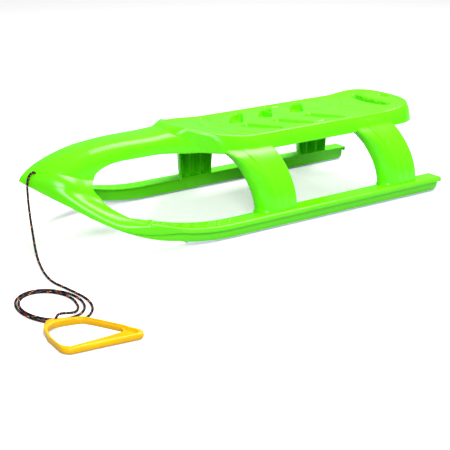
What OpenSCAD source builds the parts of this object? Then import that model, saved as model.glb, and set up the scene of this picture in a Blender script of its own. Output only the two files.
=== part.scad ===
// Child's plastic sled with steel runner strips, tow cord and pull handle
// The nose points to -Y, the seat is up, and the ground is at z = 0

/* [Overall] */
// Length from the nose tip to the rear end of the runners
sled_l = 1030; // [960:10:1120]
// Width over the two treads
sled_w = 400; // [370:5:430]
// Wall of the moulded body
wall = 3; // [2.4:0.2:4]

/* [Nose] */
// Height of the nose tip above the ground
tip_z = 153; // [139:2:165]
// Half width of the blunt nose tip
tip_half_w = 3; // [2:0.5:6]
// Height of the bonnet's crown above the tip
bonnet_rise = 62; // [50:1:66]
// Length over which the crown climbs from the tip
bonnet_l = 245; // [210:5:270]
// Length over which the runners sweep in to the tip, seen from above
sweep_l = 312; // [290:2:350]
// Length over which the runners climb to the tip, seen from the side
climb_l = 410; // [370:5:440]
// Distance from the tip to the front of the side openings
opening_d = 146; // [130:2:170]

/* [Spine] */
// Half width of the hood at the front of the side openings
opening_x = 76; // [66:2:86]
// Half width of the spine between nose and seat
spine_half_w = 54; // [46:1:62]
// Height of the spine's lower edge over the side openings
spine_edge_z = 167; // [155:1:176]

/* [Seat] */
// Distance from the rear end of the runners to the seat's rear rim
seat_inset = 0; // [0:1:30]
// Length of the seat over its rim
seat_l = 664; // [630:2:690]
// Half width of the seat at its rim
seat_half_w = 107; // [98:1:114]
// Height of the middle of the rim
seat_z = 199; // [192:1:209]
// Rise of the rim at the front end
front_kick = 22; // [10:1:28]
// Rise of the rim at the rear end
rear_kick = 10; // [4:1:16]
// Drop of the deck below its rim
deck_drop = 3; // [2:0.5:6]
// Height of the skirt's lower edge
skirt_z = 164; // [156:1:172]
// How far the skirt spreads out below the rim
skirt_spread = 15; // [10:1:20]
// Length of the hand slot across the rear of the seat
slot_l = 134; // [110:2:150]
// Width of the hand slot at its middle
slot_w = 26; // [20:1:32]
// Distance from the seat's rear rim to the hand slot's rear edge
slot_inset = 54; // [46:2:70]
// Depth of the leaf-shaped pockets in the deck
pocket_depth = 8; // [5:1:10]
// Depth of the faint marks at both ends of the deck
mark_depth = 1.5; // [1:0.5:2]

/* [Legs] */
// Distance from the rear end of the runners to the rear edge of the rear legs
rear_leg_inset = 70; // [60:2:100]
// Distance between the rear edges of a front leg and a rear leg
leg_pitch = 368; // [340:2:390]
// Width of a leg along the sled where it meets the runner
leg_foot_w = 94; // [80:2:110]
// Width of a leg along the sled where it meets the skirt
leg_head_w = 109; // [96:1:120]
// How far a leg's rear edge leans back from skirt to runner
leg_lean = 27; // [16:1:34]
// Depth of a leg's rear wall behind its outer face
leg_depth = 30; // [22:1:38]
// Depth of a leg's rounded front behind its outer face
leg_front_depth = 39; // [34:1:48]
// Reach of the legs' outer faces at the runners, from the centre
leg_foot_x = 186; // [178:1:190]

/* [Runners] */
// Width of the tread on top of a runner
tread_w = 43; // [40:1:50]
// Height of the tread above the ground
tread_z = 36; // [32:1:40]
// Depth of the lip along the tread's outer edge
lip_h = 11; // [8:1:14]
// Set-back of the blade from the tread's outer edge
blade_inset = 10; // [8:1:12]
// Thickness of the hollow blade
blade_w = 24; // [22:1:28]
// Chamfer at the blade's rear lower corner
blade_chamfer = 9; // [6:1:12]

/* [Runner strips] */
// Thickness of the steel strip
strip_t = 4; // [3:0.5:5]
// Width of the steel strip
strip_w = 22; // [18:1:24]
// Distance from the nose tip to the strip's front end
strip_front_d = 290; // [270:2:330]
// Screws that hold each strip
strip_screws = 5; // [4:1:7]
// Shank diameter of a screw
screw_d = 4; // [3:0.5:5]
// Head diameter of a screw
screw_head_d = 8; // [7:0.5:9]
// Length of a screw
screw_l = 16; // [12:1:20]

/* [Tow cord and handle] */
// Diameter of the tow cord
cord_d = 5; // [4:0.5:6]
// Bore of the holes that the cord goes through
cord_hole = 7; // [6:0.5:9]
// Diameter of the stopper knots
knot_d = 11; // [9:0.5:13]
// Length of a stopper knot along the cord
knot_l = 9; // [7:0.5:11]
// Thickness of the pull handle
handle_t = 13; // [10:1:16]
// Thickness of the handle's web above its knot
handle_web = 5; // [4:0.5:7]
// Width of the handle's thin arms
handle_arm = 5; // [4:0.5:8]
// Width of the handle's grip bar
handle_grip = 25; // [20:1:30]

/* [Hidden] */
$fn = 32;

// Frame: the nose tip and the seat's rear skirt are as far from the middle
seat_overhang = max(0, skirt_spread - seat_inset);
nose_y = -(sled_l + seat_overhang) / 2;
rear_y = nose_y + sled_l;
blade_x = sled_w / 2 - blade_inset;
tread_in_x = sled_w / 2 - tread_w;
leg_head_x = seat_half_w + skirt_spread - 3;

// Shapes of curves
function clamp01(t) = min(1, max(0, t));
function mix(a, b, t) = a + (b - a) * t;
function ease(t) = let(c = clamp01(t)) c * c * (3 - 2 * c);
function dome(t) = let(c = 1 - clamp01(t)) sqrt(1 - c * c);
function bow(t) = let(c = 1 - clamp01(t)) 1 - c * c;
function spow(v, n) = sign(v) * pow(abs(v), n);
function unit(v) = v / norm(v);

// Lines along the sled, each a function of the distance d from the nose tip
function crown_z(d) = tip_z + bonnet_rise * pow(dome(d / bonnet_l), 1.3)
    - 3 * ease((d - 260) / 140) - 24 * ease((d - 375) / 110);
function edge_x(d) = tip_half_w + (blade_x - tip_half_w) * bow(d / sweep_l);
function ground_z(d) = (tip_z - strip_t) * pow(1 - clamp01(d / climb_l), 2.05);
function blade_z(d) = ground_z(d) + strip_t;
function tread_top(d) = ground_z(d) + tread_z;
function tread_out(d) = edge_x(d) + blade_inset * ease((d - 60) / 260);
function tread_in(d) = d < opening_d ? opening_x * edge_x(d) / edge_x(opening_d) :
    mix(opening_x, tread_in_x, dome((d - opening_d) / 320));
function spine_w(d) = spine_half_w * sqrt(min(1, edge_x(d) / edge_x(opening_d)))
    + (leg_head_x + 2 - spine_half_w) * pow(clamp01((d - 330) / 165), 1.8);
function spine_edge(d) = mix(spine_edge_z - 22, spine_edge_z, dome((d - opening_d) / 100))
    + (skirt_z - spine_edge_z) * ease((d - 420) / 70);

// Half section of the skin at a distance d: crown, spine side, opening, tread and outer edge
spine_rows = 5;
web_rows = 4;
tread_rows = 3;
half_rows = spine_rows + web_rows + tread_rows;
function arch(d, j) = let(a = 90 * j / half_rows)
    [edge_x(d) * sin(a), mix(blade_z(d), crown_z(d), cos(a))];
function spine_point(d, j) = let(a = 90 * j / spine_rows)
    [spine_w(d) * spow(sin(a), 0.62), mix(spine_edge(d), crown_z(d), spow(cos(a), 0.62))];
function web_point(d, j) = let(t = (j - spine_rows) / web_rows)
    [mix(spine_w(d), tread_in(d), t) + 6 * sin(180 * t),
     mix(spine_edge(d), tread_top(d), t) + 4 * sin(180 * t)];
function lip_z(d) = blade_z(d) + (tread_z - strip_t - lip_h) * ease((d - 130) / 160);
function tread_point(d, j) =
    j == spine_rows + web_rows ? [tread_in(d), tread_top(d)] :
    j == spine_rows + web_rows + 1 ? [mix(tread_in(d), tread_out(d), 0.85), tread_top(d)] :
    j == spine_rows + web_rows + 2 ? [tread_out(d), tread_top(d) - 4] :
    [tread_out(d), lip_z(d)];
function open_point(d, j) =
    j <= spine_rows ? spine_point(d, j) :
    j < spine_rows + web_rows ? web_point(d, j) : tread_point(d, j);
function skin_point(d, j) = mix(arch(d, j), open_point(d, j), ease((d - 14) / 110));
function bay_round(d, j) = j <= spine_rows || j >= spine_rows + web_rows ? 0 :
    -12 * sin(180 * (j - spine_rows) / web_rows) * ease((d - 60) / (opening_d - 60));
function skin_row(d) = [for (s = [-half_rows : half_rows])
    let(p = skin_point(d, abs(s))) [sign(s) * p[0], nose_y + d + bay_round(d, abs(s)), p[1]]];

// A curved sheet of a grid of points, thickened inwards. keep says which cells are there
function grid_normal(p, i, j) = let(
    a = p[min(i + 1, len(p) - 1)][j] - p[max(i - 1, 0)][j],
    b = p[i][min(j + 1, len(p[0]) - 1)] - p[i][max(j - 1, 0)])
    unit(cross(b, a));
module sheet(p, t, keep = function(i, j) true) {
    ni = len(p);
    nj = len(p[0]);
    outer = [for (i = [0 : ni - 1]) for (j = [0 : nj - 1]) p[i][j]];
    inner = [for (i = [0 : ni - 1]) for (j = [0 : nj - 1]) p[i][j] - t * grid_normal(p, i, j)];
    n = ni * nj;
    function at(i, j) = i * nj + j;
    function has(i, j) = i >= 0 && j >= 0 && i < ni - 1 && j < nj - 1 && keep(i, j);
    function wall_face(a, b) = [a, b, b + n, a + n];
    faces = [for (i = [0 : ni - 2]) for (j = [0 : nj - 2]) if (has(i, j)) each [
        [at(i, j), at(i + 1, j), at(i + 1, j + 1), at(i, j + 1)],
        [at(i, j) + n, at(i, j + 1) + n, at(i + 1, j + 1) + n, at(i + 1, j) + n],
        if (!has(i - 1, j)) wall_face(at(i, j), at(i, j + 1)),
        if (!has(i + 1, j)) wall_face(at(i + 1, j + 1), at(i + 1, j)),
        if (!has(i, j - 1)) wall_face(at(i + 1, j), at(i, j)),
        if (!has(i, j + 1)) wall_face(at(i, j + 1), at(i + 1, j + 1))]];
    polyhedron(points = concat(outer, inner), faces = faces, convexity = 8);
}

// Skin of nose, spine and treads
skin_d = [15, 22, 32, 48, 66, 86, 106, 126, opening_d, opening_d + 6, opening_d + 16, opening_d + 32,
          opening_d + 56, 235, 270, 305, 340, 370, 400, 425, 450, 475, 500, sled_l];
crown_end_d = 400;
shoulder_end_d = 500;
function skin_keep(i, j) = let(s = j < half_rows ? half_rows - 1 - j : j - half_rows, d = skin_d[i])
    s < 2 ? d < crown_end_d :
    s < spine_rows ? d < shoulder_end_d :
    s < spine_rows + web_rows ? d < opening_d : true;
module skin() {
    sheet([for (d = skin_d) skin_row(d)], wall, function(i, j) skin_keep(i, j));
}
module nose_ring(d) {
    half = [for (j = [0 : half_rows]) skin_point(d, j)];
    ring = concat([for (i = [half_rows : -1 : 1]) [-half[i][0], half[i][1]]], half);
    translate([0, nose_y + d, 0]) rotate([90, 0, 0]) linear_extrude(0.1) polygon(ring);
}
module nose_tip() hull() {
    translate([-tip_half_w, nose_y, tip_z - 1]) cube([2 * tip_half_w, 1, 4]);
    nose_ring(6);
    nose_ring(skin_d[0] + 1);
}

// Seat: a cap of rings round its plan outline
seat_rear_y = rear_y - seat_inset;
seat_front_y = seat_rear_y - seat_l;
seat_front_len = 125;
seat_rear_len = 82;
arc_n = 8;
function deck_dip(y) = deck_drop + 5 * ease((seat_front_y + 120 - y) / 110);
function rim_rise(y) = front_kick * pow(clamp01(1 - (y - seat_front_y) / 170), 1.6)
    + rear_kick * ease(1 - (seat_rear_y - y) / 120);
function rim_z(y) = seat_z + rim_rise(y);
function seat_side(e) = concat(
    [for (k = [0 : arc_n]) let(a = 90 * k / arc_n)
        [(seat_half_w + e) * spow(sin(a), 0.8),
         seat_front_y + seat_front_len - (seat_front_len + e) * spow(cos(a), 0.8)]],
    [for (k = [1 : 3]) [seat_half_w + e,
        mix(seat_front_y + seat_front_len, seat_rear_y - seat_rear_len, k / 4)]],
    [for (k = [0 : arc_n]) let(a = 90 * k / arc_n)
        [(seat_half_w + e) * spow(cos(a), 0.8),
         seat_rear_y - seat_rear_len + (seat_rear_len + e) * spow(sin(a), 0.8)]]);
function skirt_bottom(y) = skirt_z + 26 * ease((seat_front_y + 110 - y) / 70);
function seat_ring(e, t, drop, dip = 0) = [for (p = seat_side(e))
    [p[0], p[1], mix(rim_z(p[1]), skirt_bottom(p[1]), t) - drop - dip * deck_dip(p[1])]];
module seat_cap(outer_rings, inner_rings) {
    m = len(outer_rings[0]);
    rings = concat(outer_rings, inner_rings);
    nr = len(rings);
    right = [for (r = rings) for (p = r) p];
    left = [for (r = rings) for (p = r) [-p[0], p[1], p[2]]];
    n = nr * m;
    no = len(outer_rings);
    shell = [for (r = [0 : nr - 1]) for (k = [0 : m - 2]) let(s = (r + 1) % nr)
        if (r != no - 1) [s * m + k, s * m + k + 1, r * m + k + 1, r * m + k]];
    deck_out = [for (k = [0 : m - 2]) let(a = (no - 1) * m + k) [a + n, a + n + 1, a + 1, a]];
    deck_in = [for (k = [0 : m - 2]) let(a = no * m + k) [a, a + 1, a + 1 + n, a + n]];
    flip = [for (f = shell) [f[3] + n, f[2] + n, f[1] + n, f[0] + n]];
    polyhedron(points = concat(right, left), faces = concat(shell, flip, deck_out, deck_in),
               convexity = 6);
}
module seat() {
    s = skirt_spread;
    outer = [seat_ring(s, 1, 0), seat_ring(0.86 * s, 0.72, 0), seat_ring(0.66 * s, 0.42, 0),
             seat_ring(0.42 * s, 0.2, 0), seat_ring(0.18 * s, 0.07, 0), seat_ring(-2, 0, 0),
             seat_ring(-6, 0, 0, 0.35), seat_ring(-12, 0, 0, 1), seat_ring(-60, 0, 0, 1)];
    w = wall;
    inner = [seat_ring(-60, 0, w, 1), seat_ring(-12, 0, w, 1), seat_ring(0.1 * s - w, 0.07, w),
             seat_ring(0.42 * s - w, 0.2, w / 2), seat_ring(0.66 * s - w, 0.42, 0),
             seat_ring(s - w, 1, 0)];
    seat_cap(outer, inner);
}

// Leg: a channel, open inwards, that leans back and bows outwards from skirt to tread
leg_head_z = skirt_z + 8;
leg_foot_z = tread_z - 1;
leg_steps = 8;
leg_round = 6;
function leg_z(t) = mix(leg_head_z, leg_foot_z, t);
function leg_x(t) = mix(leg_head_x, leg_foot_x, sin(90 * pow(t, 0.8)));
function leg_rear(n, t) = rear_y - rear_leg_inset - n * leg_pitch
    - leg_lean * (1 - sin(90 * pow(t, 0.8)));
function leg_width(t) = mix(leg_head_w, leg_foot_w, t) + 14 * pow(1 - t, 5);
function leg_front(n, t) = leg_rear(n, t) - leg_width(t);
function leg_row(n, t) = let(
    x = leg_x(t), f = leg_front(n, t), r = leg_rear(n, t), c = leg_round, g = leg_front_depth - 2,
    z = leg_z(t))
    concat([[x - leg_front_depth, f, z]],
           [for (a = [0 : 22.5 : 90]) [x - g + g * sin(a), f + g - g * cos(a), z]],
           [[x + 1, mix(f + g, r, 0.5), z], [x, r - c, z], [x - 0.3 * c, r - 0.3 * c, z],
            [x - c, r, z], [x - leg_depth, r, z]]);
function leg_rib_row(n, t, share) = let(y = mix(leg_front(n, t), leg_rear(n, t), share))
    [[leg_x(t) - leg_depth * 0.8, y, leg_z(t)], [leg_x(t) - 1, y, leg_z(t)]];
module leg(n) {
    steps = [for (i = [0 : leg_steps]) i / leg_steps];
    sheet([for (t = steps) leg_row(n, t)], wall);
    for (share = [0.34, 0.67]) sheet([for (t = steps) leg_rib_row(n, t, share)], wall);
}

// Hollow blade under each tread, open below, where the steel strip closes it
blade_d = [112, 130, 150, 175, 200, 230, 260, strip_front_d, 310, 330, 350, 370, 390,
           climb_l, sled_l - blade_chamfer - 3, sled_l - 3];
function blade_bottom(d) = blade_z(d) + max(0, d - sled_l + blade_chamfer + 3);
function blade_row(d, inset) =
    [[edge_x(d) - inset, nose_y + d, blade_bottom(d)],
     [edge_x(d) - inset, nose_y + d, tread_top(d) - 1]];
screw_x = blade_x - blade_w / 2;
screw_first_y = nose_y + climb_l + 16;
screw_last_y = rear_y - 30;
function screw_y(k) = mix(screw_first_y, screw_last_y, k / (strip_screws - 1));
boss_r = screw_d / 2 + 2.5;
screw_clear = 0.4;
screw_sink = 0.3;
module blade() {
    sheet([for (d = blade_d) [for (i = [1, 0]) blade_row(d, 0)[i]]], wall);
    sheet([for (d = blade_d) blade_row(d, blade_w)], wall);
    translate([blade_x - blade_w + 1, rear_y - 3 - wall, strip_t + blade_chamfer])
        cube([blade_w - 2, wall, tread_z - strip_t - blade_chamfer - 1]);
    translate([tread_in_x, rear_y - wall, tread_z - lip_h]) cube([tread_w - 1, wall, lip_h - 1]);
    for (k = [0 : strip_screws - 1]) translate([screw_x, screw_y(k), strip_t]) difference() {
        hull() {
            cylinder(r = boss_r, h = tread_z - strip_t - 1, $fn = 12);
            translate([-blade_w / 2 + 1, -wall / 2, 0])
                cube([blade_w - 2, wall, tread_z - strip_t - 1]);
        }
        translate([0, 0, -1]) cylinder(d = screw_d + screw_clear, h = screw_l, $fn = 12);
    }
}

// Pattern of the deck: pairs of leaf shapes, a hand slot and three oblong recesses
deck_z = seat_z - deck_drop;
leaf_corners = [[21, 32], [58, 62], [86, 95], [78, 100], [12, 54]];
leaf_round = 5;
leaf_pairs = [[0, 0], [3.1, 88], [3.8, 184]];
faint_pair = [-3.6, 300];
function oblong_z(y) = rim_z(y) - deck_dip(y);
faint_to_y = seat_rear_y - seat_rear_len;
faint_from_y = mix(seat_front_y + seat_front_len, faint_to_y, 0.75);
faint_slope = atan((oblong_z(faint_to_y) - oblong_z(faint_from_y)) / (faint_to_y - faint_from_y));
module leaf(shift, drop, grow = 0) linear_extrude(drop) offset(r = leaf_round + grow, $fn = 16)
    polygon([for (p = leaf_corners) p + shift]);
module leaf_cuts() for (side = [0, 1]) mirror([side, 0, 0]) {
    for (shift = leaf_pairs) translate([0, 0, deck_z - pocket_depth]) leaf(shift, pocket_depth + 1);
    translate([0, faint_from_y, oblong_z(faint_from_y) - mark_depth]) rotate([faint_slope, 0, 0])
        translate([0, -faint_from_y, 0]) leaf(faint_pair, 9);
}
module leaf_cups() for (side = [0, 1]) mirror([side, 0, 0])
    for (shift = leaf_pairs) translate([0, 0, deck_z - pocket_depth - 2]) leaf(shift, pocket_depth + 1, 2);
slot_y = seat_rear_y - slot_inset;
module slot_outline() hull() {
    for (side = [-1, 1]) translate([side * (slot_l / 2 - 6), slot_y - 6]) circle(r = 6, $fn = 16);
    translate([0, slot_y - slot_w + slot_l / 2]) circle(r = slot_l / 2, $fn = 48);
}
module slot_cut() translate([0, 0, skirt_z]) linear_extrude(60) intersection() {
    slot_outline();
    translate([-slot_l / 2, slot_y - slot_w]) square([slot_l, slot_w]);
}
tail_oblong = [37, 36, 12];
side_oblong = [26, 8];
side_oblong_x = 84;
side_oblong_y = 215;
module oblong(x, y, l, w) translate([x, y, oblong_z(y) - mark_depth]) hull()
    for (s = [-1, 1]) translate([s * (l - w) / 2, 0, 0]) cylinder(d = w, h = 9, $fn = 12);
module oblong_cuts() {
    oblong(0, slot_y + tail_oblong[0], tail_oblong[1], tail_oblong[2]);
    for (side = [-1, 1]) translate([side * side_oblong_x, side_oblong_y, 0]) rotate([0, 0, 90])
        translate([0, -side_oblong_y, 0]) oblong(0, side_oblong_y, side_oblong[0], side_oblong[1]);
}

// Ribs under the deck, out of sight above the skirt's edge
rib_drop = 22;
rib_x = 88;
cross_rib_y = [-60, 42, 170, 300, 410];
function rib_half(y) = y < 0 ? rib_x + 4 : seat_half_w + 2;
module deck_ribs() {
    first_y = cross_rib_y[0];
    last_y = cross_rib_y[len(cross_rib_y) - 1];
    for (y = cross_rib_y) translate([-rib_half(y), y, deck_z - rib_drop])
        cube([2 * rib_half(y), wall, rib_drop - 1]);
    for (x = [-rib_x, rib_x]) translate([x - wall / 2, first_y, deck_z - rib_drop])
        cube([wall, last_y + wall - first_y, rib_drop - 1]);
}

// Hole for the tow cord in the nose's flank, square to its wall
cord_exit = [17.6, -494, 170.4];
cord_exit_dir = unit([0.5, -0.55, 0.67]);
module along(dir) rotate([0, acos(dir[2]), atan2(dir[1], dir[0])]) children();
module cord_bore() translate(cord_exit) along(cord_exit_dir)
    translate([0, 0, -12]) cylinder(d = cord_hole, h = 20, $fn = 16);

module sled_body() color("lawngreen") difference() {
    union() {
        skin();
        nose_tip();
        seat();
        deck_ribs();
        leaf_cups();
        for (side = [0, 1]) mirror([side, 0, 0]) {
            for (n = [0, 1]) leg(n);
            blade();
        }
    }
    leaf_cuts();
    slot_cut();
    oblong_cuts();
    cord_bore();
}

// Steel strip: a flat band that follows the blade's lower edge and turns up at the rear
strip_d = [for (d = blade_d) if (d >= strip_front_d) d];
strip_end = blade_chamfer - 1;
module strip_profile() {
    low = [for (d = strip_d) if (d <= sled_l - 3 - blade_chamfer) [nose_y + d, ground_z(d)]];
    high = [for (i = [len(low) - 1 : -1 : 0]) low[i] + [0, strip_t]];
    turn_y = rear_y - 3 - blade_chamfer;
    turn = [[turn_y + 0.42 * strip_t, 0],
            [turn_y + strip_end + 0.71 * strip_t, strip_end + 0.3 * strip_t],
            [turn_y + strip_end, strip_end + strip_t]];
    polygon(concat(low, turn, high));
}
module runner_strip() color("lightsteelblue") difference() {
    translate([screw_x - strip_w / 2, 0, 0]) rotate([90, 0, 90])
        linear_extrude(strip_w) strip_profile();
    for (k = [0 : strip_screws - 1]) translate([screw_x, screw_y(k), 0]) {
        translate([0, 0, -1]) cylinder(d = screw_d + screw_clear, h = strip_t + 2, $fn = 24);
        cylinder(d1 = screw_head_d + 2 * screw_clear, d2 = screw_d + screw_clear,
                 h = (screw_head_d - screw_d) / 2 + screw_clear / 2, $fn = 24);
    }
}
module runner_strip_left() mirror([1, 0, 0]) runner_strip();
module runner_strip_right() runner_strip();
module strip_screws() color("silver") for (k = [0 : strip_screws - 1])
    translate([screw_x, screw_y(k), screw_sink]) {
        cylinder(d1 = screw_head_d, d2 = screw_d, h = (screw_head_d - screw_d) / 2, $fn = 24);
        cylinder(d = screw_d, h = screw_l, $fn = 24);
    }
module strip_screws_left() mirror([1, 0, 0]) strip_screws();
module strip_screws_right() strip_screws();

// Round tube swept along points, with the same side up all the way
function run_dir(p, i) = unit(p[min(i + 1, len(p) - 1)] - p[max(i - 1, 0)]);
function carry(p, i, u) = i == len(p) ? [] :
    let(t = run_dir(p, i), v = unit(u - (u * t) * t)) concat([v], carry(p, i + 1, v));
module tube(p, d, sides, up) {
    n = len(p);
    side = carry(p, 0, up);
    rings = [for (i = [0 : n - 1]) let(t = run_dir(p, i), u = side[i], v = cross(t, u))
        for (k = [0 : sides - 1]) let(a = 360 * (k + 0.5) / sides)
            p[i] + d / 2 * (cos(a) * u + sin(a) * v)];
    walls = [for (i = [0 : n - 2]) for (k = [0 : sides - 1])
        let(a = i * sides + k, b = i * sides + (k + 1) % sides)
            each [[a, b + sides, b], [a, a + sides, b + sides]]];
    last = (n - 1) * sides;
    ends = [for (k = [1 : sides - 2]) each [[0, k, k + 1], [last, last + k + 1, last + k]]];
    polyhedron(points = rings, faces = concat(walls, ends), convexity = 10);
}
function spline(p, n) = [for (i = [0 : len(p) - 2])
    let(a = p[max(i - 1, 0)], b = p[i], c = p[i + 1], e = p[min(i + 2, len(p) - 1)])
    for (k = [0 : n - 1]) let(t = k / n)
        0.5 * (2 * b + (c - a) * t + (2 * a - 5 * b + 4 * c - e) * t * t
               + (3 * b - a - 3 * c + e) * t * t * t),
    p[len(p) - 1]];
function run_length(p, i = 1) = i >= len(p) ? 0 : norm(p[i] - p[i - 1]) + run_length(p, i + 1);

// Coil of the cord on the ground: an inward spiral of flat loops in front of the nose
coil_rings = 24;
coil_from = -0.25;
coil_to = 1.8;
lay_z = cord_d / 2 + 0.05;
coil_x = 308;
coil_y = -614;
coil_radii = [91, 65];
coil_step = [14.5, 9];
coil_drift = [-5, -2];
function coil_point(t) = [coil_x + coil_drift[0] * t + (coil_radii[0] - coil_step[0] * t) * cos(360 * t),
                          coil_y + coil_drift[1] * t - (coil_radii[1] - coil_step[1] * t) * sin(360 * t),
                          lay_z];
function coil_tangent(t) = unit(coil_point(t + 0.001) - coil_point(t - 0.001));
coil_n = round((coil_to - coil_from) * coil_rings);
coil_turns = [for (i = [0 : coil_n]) coil_point(mix(coil_from, coil_to, i / coil_n))];
coil_route = concat([coil_turns[0] - cord_d * coil_tangent(coil_from)], coil_turns,
                    [coil_turns[coil_n] + cord_d * coil_tangent(coil_to)]);
coil_gap = min([for (i = [0 : coil_n]) for (j = [i + coil_rings / 2 : 1 : coil_n])
    norm(coil_turns[i] - coil_turns[j])]) - cord_d;
echo(coil_gap = coil_gap);
module cord_coil() color("darkslateblue") tube(coil_route, cord_d, 6, [0, 0, 1]);

// Cord from the knot in the nose, down past the tip and along the ground to the coil
knot_gap = 0.3;
knot_seat = cord_exit - (wall + 1.2) * cord_exit_dir;
tow_points = [cord_exit, [20, -498, 173], [22, -504.5, 172.5], [23, -510.5, 167.5], [23.5, -514, 158],
              [23.5, -516, 146], [23.5, -516, 127], [25, -516, 108], [28, -516, 88], [32, -516, 68],
              [38, -516, 44], [45, -517, 24], [57, -520, 11], [75, -526, 5.5], [103, -535, 3],
              [142, -547, lay_z], [179, -555, lay_z], [208, -557, lay_z], [239, -553, lay_z],
              [270, -549, lay_z], coil_route[0] - cord_d * coil_tangent(coil_from)];
tow_route = concat([knot_seat], spline(tow_points, 2), [coil_route[0]]);
module tow_cord() color("darkslateblue") tube(tow_route, cord_d, 8, [0, 1, 0]);

// Last stretch, from the coil up over the handle's edge and down its hole
coil_end = coil_route[len(coil_route) - 1];
end_points = [coil_end + cord_d * coil_tangent(coil_to), [340, -577.5, lay_z],
              [354, -586, lay_z + 1], [367, -598, lay_z + 4], [378, -612, lay_z + 9],
              [387, -627, lay_z + 15], [394, -641, 22.5], [400, -651, 24]];

// Stopper knots, inside the nose and under the handle's web
module knot(d) rotate_extrude($fn = 16)
    polygon([[0, -knot_l], [d / 4, -knot_l], [d / 2, -0.7 * knot_l], [d / 2, -0.25 * knot_l],
             [d / 3.4, 0], [0, 0]]);
module nose_knot() color("darkslateblue") translate(knot_seat) along(cord_exit_dir) knot(knot_d);

// Pull handle: a rounded triangle with a broad grip bar, lying with its apex on the cord
handle_tilt = 2.8;
handle_pivot_x = 533;
grip_x = 525;
handle_round = 3;
handle_ledge = 5;
handle_rounds = [[412, -664, 18], [430, -622, 18], [450, -608, 18], [492, -582, 18],
                 [519, -563, 12], [501, -682, 19], [455, -686, 14], [427, -677, 16]];
handle_bore = [402, -656];
opening_left_x = 411;
opening_low_y = -687;
opening_far_y = -547;
opening_round = 10;
module on_handle() translate([handle_pivot_x, 0, 0]) rotate([0, handle_tilt, 0])
    translate([-handle_pivot_x, 0, 0]) children();
module handle_outline() hull() for (c = handle_rounds) translate([c[0], c[1]]) circle(r = c[2]);
module handle_opening() intersection() {
    offset(delta = -handle_arm) handle_outline();
    offset(r = opening_round) offset(delta = -opening_round) translate([opening_left_x, opening_low_y])
        square([grip_x - handle_grip - opening_left_x, opening_far_y - opening_low_y]);
}
module handle_body() difference() {
    hull() {
        linear_extrude(handle_t - handle_round) handle_outline();
        linear_extrude(handle_t) offset(delta = -handle_round) handle_outline();
    }
    translate([0, 0, -1]) linear_extrude(handle_t + 2) handle_opening();
    translate([grip_x - handle_grip - 2, opening_low_y + 11, handle_t - handle_ledge])
        cube([handle_ledge, 100, handle_t]);
    translate([handle_bore[0], handle_bore[1], -1]) {
        cylinder(d = cord_hole, h = handle_t + 2, $fn = 24);
        cylinder(d = knot_d + 2, h = handle_t - handle_web + 1, $fn = 24);
    }
}
module pull_handle() color("gold") on_handle() handle_body();
module handle_knot() color("darkslateblue") on_handle()
    translate([handle_bore[0], handle_bore[1], knot_top]) knot(knot_d);
function tilted(p) = let(x = p[0] - handle_pivot_x)
    [handle_pivot_x + x * cos(handle_tilt) + p[2] * sin(handle_tilt), p[1],
     p[2] * cos(handle_tilt) - x * sin(handle_tilt)];
knot_top = handle_t - handle_web - knot_gap;
function on_bore(z) = tilted([handle_bore[0], handle_bore[1], z]);
end_route = concat([coil_end], spline(concat(end_points, [on_bore(handle_t + 1)]), 2),
                   [on_bore(knot_top)]);
module cord_end() color("darkslateblue") tube(end_route, cord_d, 8, [0, 1, 0]);
echo(cord_length = run_length(tow_route) + run_length(coil_route) + run_length(end_route));

sled_body();
runner_strip_left();
runner_strip_right();
strip_screws_left();
strip_screws_right();
nose_knot();
tow_cord();
cord_coil();
cord_end();
handle_knot();
pull_handle();
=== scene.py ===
"""A child's lime-green snow sled with steel runner strips, a braided tow cord and a yellow pull handle."""

import math

import bmesh
import bpy
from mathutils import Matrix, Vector
from mathutils.geometry import convex_hull_2d


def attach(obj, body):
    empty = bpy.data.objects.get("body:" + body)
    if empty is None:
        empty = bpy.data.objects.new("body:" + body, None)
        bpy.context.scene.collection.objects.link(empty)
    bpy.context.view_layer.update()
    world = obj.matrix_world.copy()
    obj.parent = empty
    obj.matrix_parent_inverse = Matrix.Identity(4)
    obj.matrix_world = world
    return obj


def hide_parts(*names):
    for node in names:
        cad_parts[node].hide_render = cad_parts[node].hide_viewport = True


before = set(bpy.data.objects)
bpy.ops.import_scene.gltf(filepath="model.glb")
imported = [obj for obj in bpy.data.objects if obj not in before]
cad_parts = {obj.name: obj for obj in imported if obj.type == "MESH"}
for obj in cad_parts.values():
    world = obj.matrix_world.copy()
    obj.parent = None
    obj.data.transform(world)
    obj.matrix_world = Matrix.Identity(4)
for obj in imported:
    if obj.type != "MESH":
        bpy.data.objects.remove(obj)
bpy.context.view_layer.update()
MM = 0.001

# Camera
# A long lens a little above the sled, off its front right corner, as the photograph was taken.
view_azimuth = math.radians(54.51)
view_elevation = math.radians(18.65)
camera = bpy.data.objects.new("camera", bpy.data.cameras.new("camera"))
camera.data.lens = 94.0
camera.data.sensor_width = 36.0
camera.location = (2.1429, -1.5281, 0.844)
camera.rotation_euler = (math.pi / 2 - view_elevation, 0, view_azimuth)
bpy.context.scene.collection.objects.link(camera)
bpy.context.scene.camera = camera


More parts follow.
